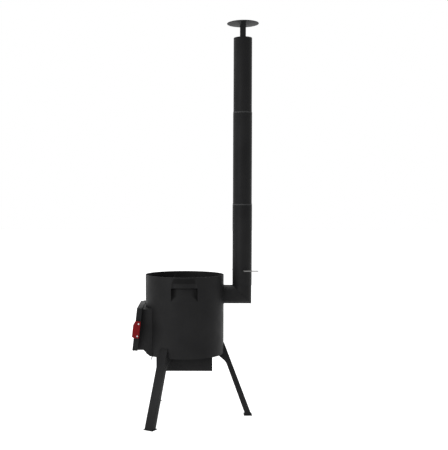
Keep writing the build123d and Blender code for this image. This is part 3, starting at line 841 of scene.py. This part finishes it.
def makeCapRivets():
    # One rivet through each strap, with a head on the pipe's outside and one on the strap
    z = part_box("chimney_pipe_upper")[1].z - capRivet["drop"]
    outside = capRivet["pipeR"]
    inside = capRivet["strapR"]
    sunk = capRivet["sunk"]
    headR = capRivet["headR"]
    headH = capRivet["headH"]
    heads = []
    for turn in (-1, 1):
        heads.append(domedHead((riserX, turn * (outside - sunk), z), (0, turn, 0), headR, headH + sunk))
        heads.append(domedHead((riserX, turn * inside, z), (0, -turn, 0), headR, headH))
        heads.append(plug((riserX, turn * (outside + inside) / 2, z), (0, 1, 0), capRivet["shankR"],
                          capRivet["shankL"], sides=24))
    joinInto(*heads)
    smooth(heads[0], angle=50)
    dress(heads[0], "capRivets", "upper_pipe", "black_heat_paint")


makeGripScrews()
makeStopRivet()
makeCapRivets()
print("fasteners done")

# Weld beads where the neck, the legs and the feet meet the drum and each other
neckWeld = {"radius": 1.6 * mm, "halfW": 120 * mm, "out": 0.4 * mm, "aside": 0.2 * mm,
            "low": 326 * mm, "rise": 235 * mm, "sideSteps": 60, "topSteps": 80}
legWeld = {"radius": 1.4 * mm, "halfW": 22.5 * mm, "out": 0.4 * mm, "low": 327 * mm, "rise": 44 * mm,
           "steps": 14}
footWeld = {"radius": 1.2 * mm, "halfW": 22 * mm, "start": 311 * mm, "run": 32 * mm, "height": 4.4 * mm}


def shares(steps):
    return [step / steps for step in range(steps + 1)]


def makeNeckWelds():
    halfW = neckWeld["halfW"]
    x = stoveX - wallOut(halfW) - neckWeld["out"]
    for turn, side in ((-1, "Near"), (1, "Far")):
        y = turn * (halfW + neckWeld["aside"])
        heights = [neckWeld["low"] + neckWeld["rise"] * share for share in shares(neckWeld["sideSteps"])]
        bead([(x, y, z) for z in heights], neckWeld["radius"], "neckWeld" + side)
    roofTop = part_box("neck_roof")[1].z
    places = [halfW * (2 * share - 1) for share in shares(neckWeld["topSteps"])]
    bead([(stoveX - wallOut(y), y, roofTop) for y in places], neckWeld["radius"], "neckWeldTop")


def makeLegWelds(name, azimuth):
    # Two beads up the drum beside the leg, and two on its foot plate, the first one drawn out in its middle
    a = radians(azimuth)

    def spot(out, aside, z):
        return stoveX + out * cos(a) - aside * sin(a), out * sin(a) + aside * cos(a), z

    seat = wallOut(legWeld["halfW"]) + legWeld["out"]
    straight = shares(legWeld["steps"])
    eased = [0.5 - 0.5 * cos(pi * share) for share in straight]
    for turn, side in ((-1, "A"), (1, "B")):
        aside = turn * legWeld["halfW"]
        heights = [legWeld["low"] + legWeld["rise"] * share for share in straight]
        bead([spot(seat, aside, z) for z in heights], legWeld["radius"], "legWeld" + name + side)
    for turn, side, along in ((1, "A", eased), (-1, "B", straight)):
        aside = turn * footWeld["halfW"]
        outs = [footWeld["start"] + footWeld["run"] * share for share in along]
        seam = [spot(out, aside, footWeld["height"]) for out in outs]
        bead(seam, footWeld["radius"], "footWeld" + name + side)


makeNeckWelds()
for name, azimuth in (("Rear", 0), ("Near", 240), ("Far", 120)):
    makeLegWelds(name, azimuth)
print("welds done")

# Floor, world and lights: a white room that is brightest overhead, and behind the stove on its left
floorLook = {"size": 60, "drop": 0.5 * mm, "tone": 0.30, "rough": 0.9, "specular": 0.1, "nearGlow": 0.74,
             "farGlow": 0.20, "glowNear": 0.5, "glowFar": 2.8}
room = {"front": 0.10, "frontAt": -0.3, "back": 0.78, "backDirection": (-0.75, 0.661, 0), "top": 1.8,
        "topFrom": 0.45}
lamps = [
    {"name": "topSoftbox", "place": (-0.4, 1.2, 4.4), "aim": (0, 0, 0.6), "size": 2.4, "power": 120},
    {"name": "leftSoftbox", "place": (-2.4, -3.0, 1.4), "aim": (0, 0, 0.8), "size": 1.6, "power": 50},
]


def seesWhite(tree):
    # 1 for camera, mirror and see-through rays, which meet the white background
    rays = tree.nodes.new("ShaderNodeLightPath")
    seen = rays.outputs["Is Camera Ray"]
    for kind in ("Is Glossy Ray", "Is Transmission Ray"):
        most = tree.nodes.new("ShaderNodeMath")
        most.operation = "MAXIMUM"
        tree.links.new(seen, most.inputs[0])
        tree.links.new(rays.outputs[kind], most.inputs[1])
        seen = most.outputs["Value"]
    return seen


def makeFloor():
    bpy.ops.mesh.primitive_plane_add(size=floorLook["size"], location=(0, 0, -floorLook["drop"]))
    floor = bpy.context.object
    floor.name = "studioFloor"
    material, tree, shader, coords = newMaterial("studioFloor")
    tone = floorLook["tone"]
    shader.inputs["Base Color"].default_value = (tone, tone, tone, 1)
    shader.inputs["Roughness"].default_value = floorLook["rough"]
    shader.inputs["Specular IOR Level"].default_value = floorLook["specular"]
    shader.inputs["Emission Color"].default_value = (1, 1, 1, 1)
    away = tree.nodes.new("ShaderNodeVectorMath")
    away.operation = "LENGTH"
    glow = tree.nodes.new("ShaderNodeMapRange")
    glow.interpolation_type = "SMOOTHSTEP"
    glow.inputs["From Min"].default_value = floorLook["glowNear"]
    glow.inputs["From Max"].default_value = floorLook["glowFar"]
    glow.inputs["To Min"].default_value = floorLook["nearGlow"]
    glow.inputs["To Max"].default_value = floorLook["farGlow"]
    pick = tree.nodes.new("ShaderNodeMapRange")
    pick.inputs["To Max"].default_value = 1
    tree.links.new(coords.outputs["Object"], away.inputs[0])
    tree.links.new(away.outputs["Value"], glow.inputs["Value"])
    tree.links.new(glow.outputs["Result"], pick.inputs["To Min"])
    tree.links.new(seesWhite(tree), pick.inputs["Value"])
    tree.links.new(pick.outputs["Result"], shader.inputs["Emission Strength"])
    floor.data.materials.append(material)


def makeWorld():
    world = bpy.data.worlds.new("studioWorld")
    scene.world = world
    world.use_nodes = True
    tree = world.node_tree
    direction = tree.nodes.new("ShaderNodeTexCoord")
    parts = tree.nodes.new("ShaderNodeSeparateXYZ")
    tree.links.new(direction.outputs["Generated"], parts.inputs["Vector"])
    above = tree.nodes.new("ShaderNodeMapRange")
    above.interpolation_type = "SMOOTHSTEP"
    above.inputs["From Min"].default_value = room["topFrom"]
    above.inputs["From Max"].default_value = 1
    above.inputs["To Max"].default_value = room["top"]
    tree.links.new(parts.outputs["Z"], above.inputs["Value"])
    facing = tree.nodes.new("ShaderNodeVectorMath")
    facing.operation = "DOT_PRODUCT"
    facing.inputs[1].default_value = room["backDirection"]
    tree.links.new(direction.outputs["Generated"], facing.inputs[0])
    around = tree.nodes.new("ShaderNodeMapRange")
    around.inputs["From Min"].default_value = room["frontAt"]
    around.inputs["From Max"].default_value = 1
    around.inputs["To Min"].default_value = room["front"]
    around.inputs["To Max"].default_value = room["back"]
    tree.links.new(facing.outputs["Value"], around.inputs["Value"])
    total = tree.nodes.new("ShaderNodeMath")
    tree.links.new(above.outputs["Result"], total.inputs[0])
    tree.links.new(around.outputs["Result"], total.inputs[1])
    pick = tree.nodes.new("ShaderNodeMix")
    pick.inputs["B"].default_value = 1
    tree.links.new(seesWhite(tree), pick.inputs["Factor"])
    tree.links.new(total.outputs["Value"], pick.inputs["A"])
    glow = tree.nodes["Background"]
    glow.inputs["Color"].default_value = (1, 1, 1, 1)
    tree.links.new(pick.outputs["Result"], glow.inputs["Strength"])
    scene.view_settings.view_transform = "Standard"


def makeLamps():
    for lamp in lamps:
        bpy.ops.object.light_add(type="AREA", location=lamp["place"])
        light = bpy.context.object
        light.name = lamp["name"]
        light.data.size = lamp["size"]
        light.data.energy = lamp["power"]
        aim = Vector(lamp["aim"]) - Vector(lamp["place"])
        light.rotation_euler = aim.to_track_quat("-Z", "Y").to_euler()


makeFloor()
makeWorld()
makeLamps()
print("studio done")
